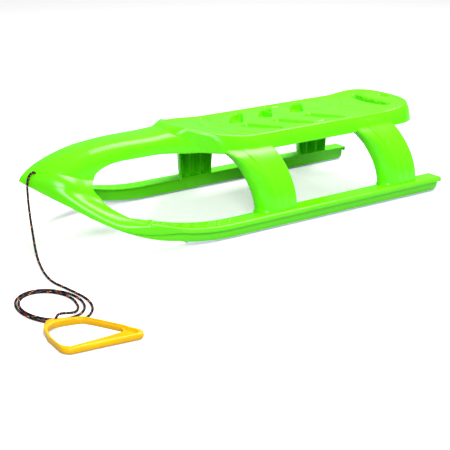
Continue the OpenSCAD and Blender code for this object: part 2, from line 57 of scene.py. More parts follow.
# Tow cord
# A braided cord 5 mm thick, navy with red, green and yellow strands. It leaves the nose's flank,
# drops to the ground, lies there in a coil and goes down through the handle's apex.
class Socket:
    """A node's output, on which Python's arithmetic adds Math nodes."""

    def __init__(self, shader, link):
        self.shader = shader
        self.link = link

    def math(self, operation, *others):
        return self.shader.add("ShaderNodeMath", {"operation": operation}, [self, *others])

    def __add__(self, other):
        return self.math("ADD", other)

    def __radd__(self, other):
        return self.math("ADD", other)

    def __mul__(self, other):
        return self.math("MULTIPLY", other)

    def __rmul__(self, other):
        return self.math("MULTIPLY", other)

    def __sub__(self, other):
        return self.math("SUBTRACT", other)

    def __rsub__(self, other):
        return self.shader.add("ShaderNodeMath", {"operation": "SUBTRACT"}, [other, self])


class Shader:
    """A material whose nodes are added one call at a time."""

    def __init__(self, name):
        self.material = bpy.data.materials.new(name)
        self.material.use_nodes = True
        self.tree = self.material.node_tree
        self.surface = self.tree.nodes["Principled BSDF"]

    def add(self, kind, settings, values, output=0):
        node = self.tree.nodes.new(kind)
        for key, value in settings.items():
            setattr(node, key, value)
        for key, value in values.items() if isinstance(values, dict) else enumerate(values):
            self.put(node.inputs[key], value)
        return Socket(self, node.outputs[output])

    def put(self, socket, value):
        if isinstance(value, Socket):
            self.tree.links.new(value.link, socket)
        else:
            socket.default_value = value

    def ramp(self, share, stops, interpolation="LINEAR"):
        """The colour at a share between stops, each a place and a colour."""
        node = self.tree.nodes.new("ShaderNodeValToRGB")
        node.color_ramp.interpolation = interpolation
        for _ in stops[2:]:
            node.color_ramp.elements.new(1)
        for element, (place, colour) in zip(node.color_ramp.elements, stops):
            element.position = place
            element.color = (*colour, 1)
        self.put(node.inputs[0], share)
        return Socket(self, node.outputs[0])

    def mix(self, share, first, second):
        values = {0: share, 6: first, 7: second}
        return self.add("ShaderNodeMix", {"data_type": "RGBA"}, values, output=2)

    def set(self, **values):
        for key, value in values.items():
            self.put(self.surface.inputs[key.replace("_", " ")], value)
        return self.material


def mix(a, b, t):
    return a + (b - a) * t


def clamp01(t):
    return min(1.0, max(0.0, t))


def ease(t):
    c = clamp01(t)
    return c * c * (3 - 2 * c)


def surface(rows, columns, place, keep=None):
    """A grid put in place by a function of two shares, in millimetres. Its UV map holds the shares."""
    bm = bmesh.new()
    bmesh.ops.create_grid(bm, x_segments=rows, y_segments=columns, size=0.5)
    uv_layer = bm.loops.layers.uv.new("shares")
    for face in bm.faces:
        for loop in face.loops:
            loop[uv_layer].uv = (loop.vert.co.x + 0.5, loop.vert.co.y + 0.5)
    if keep:
        centres = [(face, face.calc_center_median()) for face in bm.faces]
        lost = [face for face, c in centres if not keep(c.x + 0.5, c.y + 0.5)]
        bmesh.ops.delete(bm, geom=lost, context="FACES")
    for vert in bm.verts:
        vert.co = Vector(place(vert.co.x + 0.5, vert.co.y + 0.5)) * MM
    bmesh.ops.remove_doubles(bm, verts=bm.verts, dist=0.00002)
    bm.normal_update()
    return bm


def piece_from(name, bm, material, outside, wall=0.0, edge=0.0, nodes=()):
    """A smooth piece that faces a point outside it, in millimetres, with a wall if it is a sheet."""
    goal = Vector(outside) * MM
    nearest = min(bm.faces, key=lambda face: (face.calc_center_median() - goal).length)
    if nearest.normal.dot(goal - nearest.calc_center_median()) < 0:
        bmesh.ops.reverse_faces(bm, faces=bm.faces)
    data = bpy.data.meshes.new(name)
    bm.to_mesh(data)
    bm.free()
    for polygon in data.polygons:
        polygon.use_smooth = True
    piece = bpy.data.objects.new(name, data)
    bpy.context.scene.collection.objects.link(piece)
    data.materials.append(material)
    if wall:
        solid = piece.modifiers.new("wall", "SOLIDIFY")
        solid.thickness = wall * MM
        solid.offset = -1
    if edge:
        bevel = piece.modifiers.new("edge", "BEVEL")
        bevel.width = edge * MM
        bevel.segments = 2
        bevel.limit_method = "ANGLE"
        bevel.angle_limit = math.radians(50)
    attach(piece, "root")
    if nodes:
        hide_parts(*nodes)
    return piece


def tube(points, radius, sides):
    """A round tube swept along points, with the same side up all the way."""
    line = [Vector(p) for p in points]
    last = len(line) - 1
    ahead = [(line[min(i + 1, last)] - line[max(i - 1, 0)]).normalized() for i in range(len(line))]
    sideways = [ahead[0].orthogonal().normalized()]
    for direction in ahead[1:]:
        sideways.append((sideways[-1] - sideways[-1].dot(direction) * direction).normalized())

    def place(u, v):
        i = round(u * last)
        a = math.tau * v
        return line[i] + radius * (math.cos(a) * sideways[i] + math.sin(a) * ahead[i].cross(sideways[i]))

    return surface(last, sides, place)


def smooth_step(before, start, end, after, t):
    """The smooth curve's value a share of the way from one value to the next, in a row of four."""
    curve = 2 * before - 5 * start + 4 * end - after
    twist = 3 * start - before - 3 * end + after
    return 0.5 * (2 * start + (end - before) * t + curve * t * t + twist * t ** 3)


def neighbours(row, i):
    """Four values in a row, the second of which is number i, with the ends repeated."""
    last = len(row) - 1
    return row[max(i - 1, 0)], row[i], row[i + 1], row[min(i + 2, last)]


def spline(points, n):
    """Points along a smooth curve through the given ones, n to each stretch."""
    line = [Vector(p) for p in points]
    out = []
    for i in range(len(line) - 1):
        for k in range(n):
            out.append(smooth_step(*neighbours(line, i), k / n))
    return out + [line[-1]]


CORD_D = 5
LAY_Z = CORD_D / 2 + 0.05
COIL_X = 308
COIL_Y = -614
COIL_FROM = -0.25
COIL_TO = 1.8
COIL_STEPS = 148
WALL = 3
cord_exit = Vector((17.6, -494, 170.4))
cord_exit_dir = Vector((0.5, -0.55, 0.67)).normalized()
knot_seat = cord_exit - (WALL + 1.2) * cord_exit_dir


def coil_point(t):
    """A point of the loops on the ground, t turns round. Each turn is smaller than the last."""
    a = math.tau * t
    x = COIL_X - 5 * t + (91 - 14.5 * t) * math.cos(a)
    y = COIL_Y - 2 * t - (65 - 9 * t) * math.sin(a)
    return Vector((x, y, LAY_Z))


def coil_tangent(t):
    return (coil_point(t + 0.001) - coil_point(t - 0.001)).normalized()


HANDLE_T = 13
HANDLE_PIVOT_X = 533
KNOT_TOP_Z = 7.7
handle_tilt = math.radians(2.8)
handle_bore = (402, -656)


def on_handle(x, y, z):
    """A point of the level handle, moved to where it lies tilted on the cord."""
    run = x - HANDLE_PIVOT_X
    tilted_x = HANDLE_PIVOT_X + run * math.cos(handle_tilt) + z * math.sin(handle_tilt)
    return Vector((tilted_x, y, z * math.cos(handle_tilt) - run * math.sin(handle_tilt)))


coil_turns = [coil_point(mix(COIL_FROM, COIL_TO, i / COIL_STEPS)) for i in range(COIL_STEPS + 1)]
coil_start = coil_turns[0] - CORD_D * coil_tangent(COIL_FROM)
coil_end = coil_turns[-1] + CORD_D * coil_tangent(COIL_TO)
tow_points = [cord_exit, (20, -498, 173), (22, -504.5, 172.5), (23, -510.5, 167.5), (23.5, -514, 158),
              (23.5, -516, 146), (23.5, -516, 127), (25, -516, 108), (28, -516, 88), (32, -516, 68),
              (38, -516, 44), (45, -517, 24), (57, -520, 11), (75, -526, 5.5), (103, -535, 3),
              (142, -547, LAY_Z), (179, -555, LAY_Z), (208, -557, LAY_Z), (239, -553, LAY_Z),
              (270, -549, LAY_Z), coil_start - CORD_D * coil_tangent(COIL_FROM)]
end_points = [coil_end + CORD_D * coil_tangent(COIL_TO), (340, -577.5, LAY_Z), (354, -586, LAY_Z + 1),
              (367, -598, LAY_Z + 4), (378, -612, LAY_Z + 9), (387, -627, LAY_Z + 15), (394, -641, 22.5),
              (400, -651, 24), on_handle(*handle_bore, HANDLE_T + 1)]
cord_line = ([knot_seat] + spline(tow_points, 6) + [coil_start] + coil_turns + [coil_end]
             + spline(end_points, 6) + [on_handle(*handle_bore, KNOT_TOP_Z)])
cord_length = sum((b - a).length for a, b in zip(cord_line, cord_line[1:]))

BRAID_STRANDS = 6
BRAID_PITCH = 5
NO_LESS_THAN_ZERO = 4000


def braid(name, length):
    """Six strands each way round the cord, over and under, each strand of one colour."""
    shader = Shader(name)
    uv = shader.add("ShaderNodeUVMap", {"uv_map": "shares"}, {})
    along = shader.add("ShaderNodeSeparateXYZ", {}, [uv]) * (length / BRAID_PITCH)
    around = shader.add("ShaderNodeSeparateXYZ", {}, [uv], output=1) * BRAID_STRANDS
    crossing = (around + along, around - along + NO_LESS_THAN_ZERO)
    ids = [s.math("FLOOR") for s in crossing]
    navy = (0.006, 0.008, 0.045)
    black = (0.008, 0.008, 0.012)
    red = (0.38, 0.012, 0.02)
    leaf_green = (0.008, 0.1, 0.03)
    yellow = (0.6, 0.36, 0.05)
    strands = ([red, navy, navy, black, yellow, black, navy, navy],
               [leaf_green, black, leaf_green, navy, navy, red, navy, black])
    colours = []
    for strand_id, row in zip(ids, strands):
        place = strand_id.math("FLOORED_MODULO", len(row)) * (1 / len(row)) + 0.01
        stops = [(k / len(row), colour) for k, colour in enumerate(row)]
        colours.append(shader.ramp(place, stops, "CONSTANT"))
    tint = shader.mix((ids[0] + ids[1]).math("FLOORED_MODULO", 2), *colours)
    slopes = [(place - strand_id - 0.5).math("POWER", 2) for place, strand_id in zip(crossing, ids)]
    fibre = shader.add("ShaderNodeTexNoise", {}, {"Vector": uv, "Scale": 3000.0})
    height = 1 - slopes[0] * 2 - slopes[1] * 2 + fibre * 0.3
    bump = shader.add("ShaderNodeBump", {}, {"Strength": 0.6, "Distance": 0.0006, "Height": height})
    return shader.set(Base_Color=tint, Roughness=fibre * 0.2 + 0.5, Normal=bump, Specular_IOR_Level=0.05)


cord_bm = tube(cord_line, CORD_D / 2, 16)
bmesh.ops.holes_fill(cord_bm, edges=[e for e in cord_bm.edges if e.is_boundary], sides=0)
cord = piece_from("tow_cord_braided", cord_bm, braid("braided_cord", cord_length), (200, -500, 300),
                  nodes=("tow_cord", "cord_coil", "cord_end"))

# Stopper knots
# The cord is knotted inside the nose and again inside the handle's apex. Each knot is drawn tight
# against the plastic, and is wider than its hole.
KNOT_STEPS = 120
KNOT_SCALE = 1.12
KNOT_DEPTH = 4.2
KNOT_CORD_R = 2.1
KNOT_CORD_L = 110


def knot(name, seat, direction, node):
    """A tight overhand knot just below a seat."""
    turn = Vector((0, 0, 1)).rotation_difference(direction)
    line = []
    for i in range(KNOT_STEPS + 1):
        a = math.tau * i / KNOT_STEPS
        x = math.sin(a) + 2 * math.sin(2 * a)
        y = math.cos(a) - 2 * math.cos(2 * a)
        loop = Vector((x, y, -1.3 * math.sin(3 * a))) * KNOT_SCALE
        line.append(seat + turn @ (loop + Vector((0, 0, -KNOT_DEPTH))))
    bm = tube(line, KNOT_CORD_R, 14)
    material = braid(name + "_cord", KNOT_CORD_L)
    return piece_from(name, bm, material, seat + direction * 300, nodes=(node,))


nose_knot = knot("knot_in_nose", knot_seat, cord_exit_dir, "nose_knot")
handle_knot = knot("knot_in_handle", on_handle(*handle_bore, KNOT_TOP_Z), Vector((0, 0, 1)), "handle_knot")

# Pull handle
# A rounded triangle of glossy yellow plastic: thin arms, and a broad grip bar with a rounded ridge
# along its outer edge and a lower ledge inside it. The apex is solid, and the cord goes down through it.
HANDLE_ARM = 6.5
HANDLE_GRIP = 25
GRIP_X = 525
GAP_LEFT_X = 411
GAP_ROUND = 17
HANDLE_STEPS = 240
SECTION_SIDES = 16
APEX_ANGLE = 3.4
handle_middle = (462, -640)
handle_rounds = [(412, -664, 18), (430, -622, 18), (450, -608, 18), (492, -582, 18), (521, -560, 12),
                 (501, -682, 19), (458, -677, 23), (429, -676, 17)]
rim_points = [Vector((x + r * math.cos(math.radians(a)), y + r * math.sin(math.radians(a))))
              for x, y, r in handle_rounds for a in range(0, 360, 5)]
rim = [rim_points[i] for i in convex_hull_2d(rim_points)]


def outline_distance(x, y, corners):
    """How far a point lies outside a convex outline, negative inside it."""
    best = -1e9
    for a, b in zip(corners, corners[1:] + corners[:1]):
        run = b - a
        best = max(best, ((x - a.x) * run.y - (y - a.y) * run.x) / run.length)
    return best


def round_max(a, b, r):
    """The overlap of two outlines, with corners rounded to a radius."""
    return min(-r, max(a, b)) + math.hypot(max(a + r, 0), max(b + r, 0))


def rim_distance(x, y):
    return outline_distance(x, y, rim)


def gap_distance(x, y):
    bars = round_max(x - (GRIP_X - HANDLE_GRIP), GAP_LEFT_X - x, 8)
    return round_max(rim_distance(x, y) + HANDLE_ARM, bars, GAP_ROUND)


def reach(distance, angle):
    """How far an outline lies from the middle of the handle's opening, in one direction."""
    low, high = 0.0, 140.0
    for _ in range(26):
        middle = (low + high) / 2
        x = handle_middle[0] + middle * math.cos(angle)
        y = handle_middle[1] + middle * math.sin(angle)
        if distance(x, y) < 0:
            low = middle
        else:
            high = middle
    return low


handle_reach = []
for i in range(HANDLE_STEPS):
    angle = math.tau * i / HANDLE_STEPS
    handle_reach.append((reach(rim_distance, angle), reach(gap_distance, angle)))


def handle_section(width, apex):
    """The closed section of an arm or the grip bar: distance from the outer edge, and height."""
    ridge = mix(min(0.58 * width, 11), width - 1.6, apex)
    r = min(0.42 * ridge, 4.5)
    ledge = HANDLE_T - mix(3 + 2.5 * clamp01((width - 6) / 12), 0.9, apex)
    s = 0.6
    outer_side = [(r, 0), (0.3 * r, 0.3 * r), (0, r), (0, HANDLE_T - r), (0.3 * r, HANDLE_T - 0.3 * r)]
    ridge_top = [(r, HANDLE_T), (ridge - 2 * s, HANDLE_T), (ridge - s, HANDLE_T - 0.3 * s)]
    ridge_side = [(ridge - 0.3 * s, HANDLE_T - s), (ridge, ledge + s), (ridge + 0.4 * s, ledge)]
    ledge_edge = [(width - s, ledge), (width - 0.2 * s, ledge - 0.3 * s), (width, ledge - s)]
    return outer_side + ridge_top + ridge_side + ledge_edge + [(width, 0.8), (width - 0.8, 0), (r, 0)]


def handle_place(u, v):
    i = round(u * HANDLE_STEPS) % HANDLE_STEPS
    outer, inner = handle_reach[i]
    angle = math.tau * i / HANDLE_STEPS
    apex = ease((math.cos(angle - APEX_ANGLE) - 0.72) / 0.14)
    across, z = handle_section(outer - inner, apex)[round(v * SECTION_SIDES)]
    run = outer - across
    return on_handle(handle_middle[0] + run * math.cos(angle), handle_middle[1] + run * math.sin(angle), z)


yellow = Shader("glossy_yellow_plastic")
place_at = yellow.add("ShaderNodeTexCoord", {}, {}, output=3)
cloud = yellow.add("ShaderNodeTexNoise", {}, {"Vector": place_at, "Scale": 30.0, "Detail": 2.0})
fine = yellow.add("ShaderNodeTexNoise", {}, {"Vector": place_at, "Scale": 700.0, "Detail": 2.0})
yellow_tint = yellow.ramp(cloud, [(0.3, (0.92, 0.5, 0.002)), (0.7, (0.96, 0.55, 0.003))])
yellow_bump = yellow.add("ShaderNodeBump", {}, {"Strength": 0.1, "Distance": 0.0002, "Height": fine})
yellow.set(Base_Color=yellow_tint, Roughness=cloud * 0.1 + 0.24, Normal=yellow_bump, Specular_IOR_Level=0.25)
handle_bm = surface(HANDLE_STEPS, SECTION_SIDES, handle_place)
bmesh.ops.recalc_face_normals(handle_bm, faces=handle_bm.faces)
piece_from("pull_handle_shell", handle_bm, yellow.material, (*handle_middle, 400), edge=0.4,
           nodes=("pull_handle",))
[tuple(p * MM) for p in cord_line]

# Moulding: hood, spine and treads
# One piece of lime-green polyethylene, about 3 mm thick, moulded hollow and open below. The hood runs
# back from the blunt nose into the spine, and spreads into a tread on each side over the runners.
SLED_L = 1030
NOSE_Y = -522.5
REAR_Y = NOSE_Y + SLED_L
TIP_Z = 153
TIP_HALF_W = 3
BONNET_RISE = 62
BONNET_L = 245
SWEEP_L = 312
CLIMB_L = 410
STRIP_T = 4
OPENING_D = 146
OPENING_X = 76
OPENING_LOW_Z = 145
BLADE_X = 190
TREAD_Z = 36
LIP_H = 11
LIP_OVERHANG = 10
LIP_ROUND = 5
SPINE_HALF_W = 54
SPINE_EDGE_Z = 167
SKIRT_Z = 164

# A section runs from the crown, step 0, down to the tread's lip. The spine's side ends at one step and
# the tread starts at another, with the opening between them.
SPINE_STEP = 5
TREAD_STEP = 9
LIP_STEP = 12


def dome(t):
    return math.sqrt(1 - (1 - clamp01(t)) ** 2)


def crown_z(d):
    """The height of the crown at a distance behind the nose's tip, as in the functions below."""
    bonnet = TIP_Z + BONNET_RISE * dome(d / BONNET_L) ** 1.3
    return bonnet + 3 * ease((d - 290) / 70) - 28 * ease((d - 375) / 110)


def edge_x(d):
    """The half width over the runners, which sweep in to the nose."""
    return TIP_HALF_W + (BLADE_X - TIP_HALF_W) * (1 - (1 - clamp01(d / SWEEP_L)) ** 2)


def ground_z(d):
    """The height of the runner's curve: the steel strip's underside, and ahead of it on to the nose."""
    return (TIP_Z - STRIP_T) * (1 - clamp01(d / CLIMB_L)) ** 2.05


def tread_top(d):
    return ground_z(d) + TREAD_Z


def tread_out(d):
    return edge_x(d) + LIP_OVERHANG * ease((d - 60) / 260)


def tread_in(d):
    """The tread's inner edge. Behind the opening's front end it swings out round the oval."""
    if d < OPENING_D:
        return OPENING_X * edge_x(d) / edge_x(OPENING_D)
    t = clamp01((d - OPENING_D) / 52)
    return OPENING_X + 70 * mix(ease(t), t * (2 - t), 0.4) + 11 * clamp01((d - 216) / 200)


def spine_w(d):
    """The spine's half width. It flares where it runs in under the seat."""
    front = SPINE_HALF_W * math.sqrt(min(1, edge_x(d) / edge_x(OPENING_D)))
    return front + 67 * clamp01((d - 325) / 150) ** 1.9


def spine_edge(d):
    """The height of the spine's lower edge, which is the opening's upper edge."""
    lower = OPENING_LOW_Z + 29 * dome((d - OPENING_D) / 75) - 7 * ease((d - 290) / 100)
    return lower + (SKIRT_Z - SPINE_EDGE_Z) * ease((d - 420) / 70)


def belly(d):
    """How much fuller the underside is than the runner's curve, ahead of the steel strips."""
    return 7 * math.sin(math.pi * clamp01((d - 75) / 195))


def lip_z(d):
    return ground_z(d) + STRIP_T - belly(d) + (TREAD_Z - STRIP_T - LIP_H) * ease((d - 130) / 160)


def cheek_fillet(d, x):
    """The rise of the tread towards the spine's side, just ahead of and behind the opening's front end."""
    size = min(1, edge_x(d) / edge_x(OPENING_D))
    return 15 * size * math.exp(-(x - OPENING_X * size) / (11 * size)) * (1 - ease((d - OPENING_D) / 60))


def arch(d, j):
    """The half section at the nose, a plain arch down to the ground line."""
    a = math.radians(90 * j / LIP_STEP)
    return edge_x(d) * math.sin(a), mix(ground_z(d) + STRIP_T - belly(d), crown_z(d), math.cos(a))


def round_from(d):
    """Where the rounding of the tread's outer side starts."""
    return mix(OPENING_X, 140, clamp01((d - OPENING_D) / 180)) if d > OPENING_D else tread_in(d)


def round_top(d, x):
    """The height of the rounded tread at a distance from the middle."""
    share = clamp01((x - round_from(d)) / (tread_out(d) - round_from(d)))
    return mix(lip_z(d), tread_top(d), math.sqrt(1 - share * share)) + cheek_fillet(d, x) * (1 - share)


def rounded_side(up):
    """The share of the spine's half width at a share of its height."""
    return (1 - up ** 3.226) ** 0.31


def spine_side(d, j):
    """The spine's half section, cut off at the opening's upper edge."""
    base = mix(OPENING_LOW_Z, spine_edge(d), ease((d - OPENING_D) / 170))
    edge = (spine_edge(d) - base) / (crown_z(d) - base)
    up = max(edge, max(0, math.cos(math.radians(90 * j / SPINE_STEP))) ** 0.62)
    return spine_w(d) * rounded_side(up), mix(base, crown_z(d), up)


def cheek(d, t):
    """The wall between the spine and the tread, ahead of the opening."""
    swell = math.sin(math.pi * t)
    low = tread_top(d) + cheek_fillet(d, tread_in(d))
    x = mix(spine_side(d, SPINE_STEP)[0], tread_in(d), t) + 3 * swell
    return x, mix(spine_edge(d), low, t) + 2 * swell


def flat_tread(d, t):
    """The tread's half section over the straight runner: flat, with a rounded lip."""
    x, z = tread_out(d) - LIP_ROUND, tread_top(d) - LIP_ROUND
    if t < 0.6:
        return mix(tread_in(d), x, t / 0.6), tread_top(d)
    if t < 0.85:
        a = math.radians(90 * (t - 0.6) / 0.25)
        return x + LIP_ROUND * math.sin(a), z + LIP_ROUND * math.cos(a)
    return tread_out(d), mix(z, lip_z(d), (t - 0.85) / 0.15)


def flatness(d):
    return ease((d - 150) / 100)


def open_section(d, j):
    """The half section behind the nose: spine side, opening, then the tread with its rounded lip."""
    if j <= SPINE_STEP:
        return spine_side(d, j)
    if j < TREAD_STEP:
        return cheek(d, (j - SPINE_STEP) / (TREAD_STEP - SPINE_STEP))
    t = (j - TREAD_STEP) / (LIP_STEP - TREAD_STEP)
    round_x = max(tread_in(d), mix(round_from(d), tread_out(d), math.sin(math.radians(90 * t))))
    flat_x, flat_z = flat_tread(d, t)
    return mix(round_x, flat_x, flatness(d)), mix(round_top(d, round_x), flat_z, flatness(d))


CRESCENT_FIRST_D = 208
CRESCENT_PITCH = 27
CRESCENT_LAST = 7
CRESCENT_H = 2.4


def crescent(d, x):
    """The height of the small half-moon grips on the front of the treads, in two rows."""
    if not 190 < d < 440:
        return 0.0
    height = 0.0
    middle = (tread_in(d) + tread_out(d) - 4) / 2
    for row in (-1, 1):
        shift = d - CRESCENT_FIRST_D - (1 - row) * CRESCENT_PITCH / 4
        along = shift - CRESCENT_PITCH * min(CRESCENT_LAST, max(0, round(shift / CRESCENT_PITCH)))
        across = (x - middle - row * 7) * 1.25
        inside = min(8 - math.hypot(across, along), math.hypot(across, along + 5.5) - 7)
        height += CRESCENT_H * ease(inside / 1.1 + 0.5)
    return height


def skin_point(d, j):
    """A point of the moulding's outer skin. The nose's arch turns into the open section behind it."""
    opened = ease((d - 36) / (OPENING_D - 36))
    arch_x, arch_z = arch(d, j)
    open_x, open_z = open_section(d, j)
    y = NOSE_Y + d
    if SPINE_STEP < j < TREAD_STEP:
        t = (j - SPINE_STEP) / (TREAD_STEP - SPINE_STEP)
        y -= 11 * math.sin(math.pi * t) * ease((d - 60) / (OPENING_D - 60))
    if j > TREAD_STEP:
        open_z += crescent(d, open_x)
    return mix(arch_x, open_x, opened), y, mix(arch_z, open_z, opened)


green = Shader("lime_polyethylene")
point = green.add("ShaderNodeTexCoord", {}, {}, output=3)
grain = green.add("ShaderNodeTexNoise", {}, {"Vector": point, "Scale": 900.0, "Detail": 3.0})
mottle = green.add("ShaderNodeTexNoise", {}, {"Vector": point, "Scale": 14.0, "Detail": 2.0})
green_tint = green.ramp(mottle, [(0.3, (0.142, 0.93, 0.0015)), (0.7, (0.158, 0.98, 0.003))])
green_bump = green.add("ShaderNodeBump", {}, {"Strength": 0.08, "Distance": 0.0002, "Height": grain})
green.set(Base_Color=green_tint, Roughness=mottle * 0.06 + 0.2, Normal=green_bump, Specular_IOR_Level=0.3)

TIP_D = 2
CROWN_END_D = 400
SHOULDER_END_D = 458
nose_stops = [TIP_D, 4, 7, 11, 16, 22, 29, 37, 46, 57, 69, 82, 96, 110, 122, 134, 140]
tread_stops = [OPENING_D, 148, 151, 156, 163, 172, 182, 192, *range(202, 446, 8), 450]
hood_stops = [*nose_stops, *tread_stops, SHOULDER_END_D, 475, 500, 620, 760, 900, SLED_L]


def between(stops, share):
    """The value a share of the way through a list of stops, straight between neighbours."""
    place = share * (len(stops) - 1)
    first = min(int(place), len(stops) - 2)
    return mix(stops[first], stops[first + 1], place - first)


def section_step(v):
    """The section's step at a share of the way from one lip over the crown to the other."""
    return abs(2 * LIP_STEP * v - LIP_STEP)


def hood_place(u, v):
    x, y, z = skin_point(between(hood_stops, u), section_step(v))
    return math.copysign(x, v - 0.5), y, z


def hood_keep(u, v):
    """The crown and the spine's shoulders end under the seat, and the openings stay free."""
    d = between(hood_stops, u)
    j = section_step(v)
    if j < 2:
        return d < CROWN_END_D
    if j < SPINE_STEP:
        return d < SHOULDER_END_D
    return j > TREAD_STEP or d < OPENING_D


hood_bm = surface((len(hood_stops) - 1) * 4, 2 * LIP_STEP * 7, hood_place, hood_keep)
piece_from("hood_spine_and_treads", hood_bm, green.material, (0, -200, 1000), wall=WALL,
           edge=0.7, nodes=("sled_body",))


def tip_place(u, v):
    """The blunt end that closes the nose."""
    x, y, z = skin_point(TIP_D, section_step(v))
    return math.copysign(x, v - 0.5) * u, NOSE_Y + TIP_D * u * u, mix(TIP_Z + 1, z, u)


piece_from("nose_tip", surface(6, 48, tip_place), green.material, (0, -1000, 155), wall=1.5,
           nodes=("sled_body",))

# Moulding: seat
# A flat deck with a rounded rim and a skirt. Six leaf-shaped pockets point outwards and back, and a
# hand slot with a straight rear edge crosses the tail.
SEAT_L = 652.5
SEAT_HALF_W = 107
SEAT_Z = 199
SEAT_FRONT_Y = REAR_Y - SEAT_L
FRONT_LEN = 145
REAR_LEN = 82
DECK_DROP = 3
SLOT_Y = REAR_Y - 54
SLOT_WALL_Z = 186
POCKET_DEPTH = 14
OBLONG_DEPTH = 5
FAINT_DEPTH = 2.4
FRONT_RISE = 21.5
TAIL_RISE = 10
PROW_LEN = 19
PROW_H = 3.5
FRONT_SHARE = 0.24
REAR_SHARE = 0.2
FRONT_POWER = 0.95
REAR_POWER = 0.8
RIM_W = 14


def deck_dip(y):
    """How far the deck lies below the rim."""
    return DECK_DROP + 4 * ease((SEAT_FRONT_Y + 105 - y) / 95)


def rim_z(y):
    """The height of the rim, which rises to the front and a little to the tail."""
    return SEAT_Z + FRONT_RISE * clamp01((5 - y) / 150) ** 1.5 + TAIL_RISE * ease(1 - (REAR_Y - y) / 120)


def prow(x):
    """The share of the forward push of the seat's front end, where it meets the spine."""
    return math.exp(-(x / 62) ** 6)


def spine_z(x, y):
    """The height of the spine's skin over a point, or far below where there is none."""
    d = y - NOSE_Y
    across = abs(x) / spine_w(d)
    if across >= 1 or d > 470:
        return -1000.0
    return mix(spine_edge(d), crown_z(d), rounded_side(across))


def blend_max(a, b, reach):
    """The larger of two heights, with a fillet where they are close."""
    near = max(reach - abs(a - b), 0) / reach
    return max(a, b) + near * near * reach / 4


def seat_outline(e, s):
    """A point of the outline on the right, grown by e, from the front middle to the rear middle."""
    front_y, rear_y = SEAT_FRONT_Y + FRONT_LEN, REAR_Y - REAR_LEN
    if s < FRONT_SHARE:
        a = math.radians(90 * s / FRONT_SHARE)
        x = (SEAT_HALF_W + e) * math.sin(a) ** FRONT_POWER
        y = front_y - (FRONT_LEN + e) * math.cos(a) ** FRONT_POWER
        return x, y - PROW_LEN * prow(x)
    if s < 1 - REAR_SHARE:
        return SEAT_HALF_W + e, mix(front_y, rear_y, (s - FRONT_SHARE) / (1 - REAR_SHARE - FRONT_SHARE))
    a = math.radians(90 * (s - 1 + REAR_SHARE) / REAR_SHARE)
    y = rear_y + (REAR_LEN + e) * max(0, math.sin(a)) ** REAR_POWER
    return (SEAT_HALF_W + e) * max(0, math.cos(a)) ** REAR_POWER, y


MARK_ROUND = 5
leaf = [Vector(p) for p in ((21, 32), (58, 62), (86, 95), (78, 100), (12, 54))]
leaves = [[p + Vector(shift) for p in leaf] for shift in ((0, 0), (3.1, 88), (3.8, 184))]
faint_leaves = [[p + Vector((-3.6, 300)) for p in leaf],
                [Vector(p) for p in ((14, -48), (62, -32), (88, -6), (79, 3), (8, -24))]]
slot_arc = [math.radians(a) for a in range(180, 361, 10)]
slot_corners = [Vector((62 * math.cos(a), SLOT_Y - 6 + 15 * math.sin(a))) for a in slot_arc]
slot_corners += [Vector((61, SLOT_Y - 5)), Vector((-61, SLOT_Y - 5))]


def rounded_distance(x, y, corners, radius):
    """How far a point lies outside a convex outline that is grown and rounded by a radius."""
    best = 1e9
    inside = True
    for a, b in zip(corners, corners[1:] + corners[:1]):
        run = b - a
        t = clamp01(((x - a.x) * run.x + (y - a.y) * run.y) / run.length_squared)
        best = min(best, math.hypot(x - a.x - run.x * t, y - a.y - run.y * t))
        if (x - a.x) * run.y - (y - a.y) * run.x > 0:
            inside = False
    return (-best if inside else best) - radius


def slot_distance(x, y):
    return rounded_distance(x, y, slot_corners, MARK_ROUND) if abs(y - SLOT_Y + 12) < 40 else 99.0


def leaf_distance(x, y):
    near = [corners for corners in leaves if abs(x - 50) < 60 and abs(y - corners[1].y) < 60]
    return min([rounded_distance(x, y, corners, MARK_ROUND) for corners in near] + [99.0])


def oblong_distance(x, y):
    """How far a point lies outside the oblong marks, one at the tail and one on each side."""
    tail = math.hypot(max(0, abs(x) - 12), y - SLOT_Y - 37) - 6
    side = math.hypot(abs(x) - 87, max(0, abs(y - 215) - 9)) - 4.5
    return min(tail, side)


def dent(x, y):
    """How far the deck's skin lies below its plane at a point."""
    depth = POCKET_DEPTH * ease(0.5 - (leaf_distance(abs(x), y) + 1.2) / 3.2)
    depth += OBLONG_DEPTH * ease(0.5 - (oblong_distance(x, y) + 0.8) / 2.4)
    for corners in faint_leaves:
        if abs(y - corners[1].y) < 75:
            depth += FAINT_DEPTH * ease(1 - abs(rounded_distance(abs(x), y, corners, MARK_ROUND)) / 2.4)
    return depth + 2.5 * clamp01(1 - slot_distance(x, y) / 4) ** 2


def snapped(x, y):
    """A deck point, moved onto the slot's edge if it lies close to it."""
    gap = slot_distance(x, y)
    if abs(gap) > 1.3:
        return x, y
    h = 0.05
    slope_x = (slot_distance(x + h, y) - gap) / h
    slope_y = (slot_distance(x, y + h) - gap) / h
    return x - gap * slope_x, y - gap * slope_y


def rows_between(rows, share):
    """A smooth row a share of the way down a list of rows of numbers."""
    place = share * (len(rows) - 1)
    i = min(int(place), len(rows) - 2)
    return [smooth_step(*four, place - i) for four in zip(*neighbours(rows, i))]


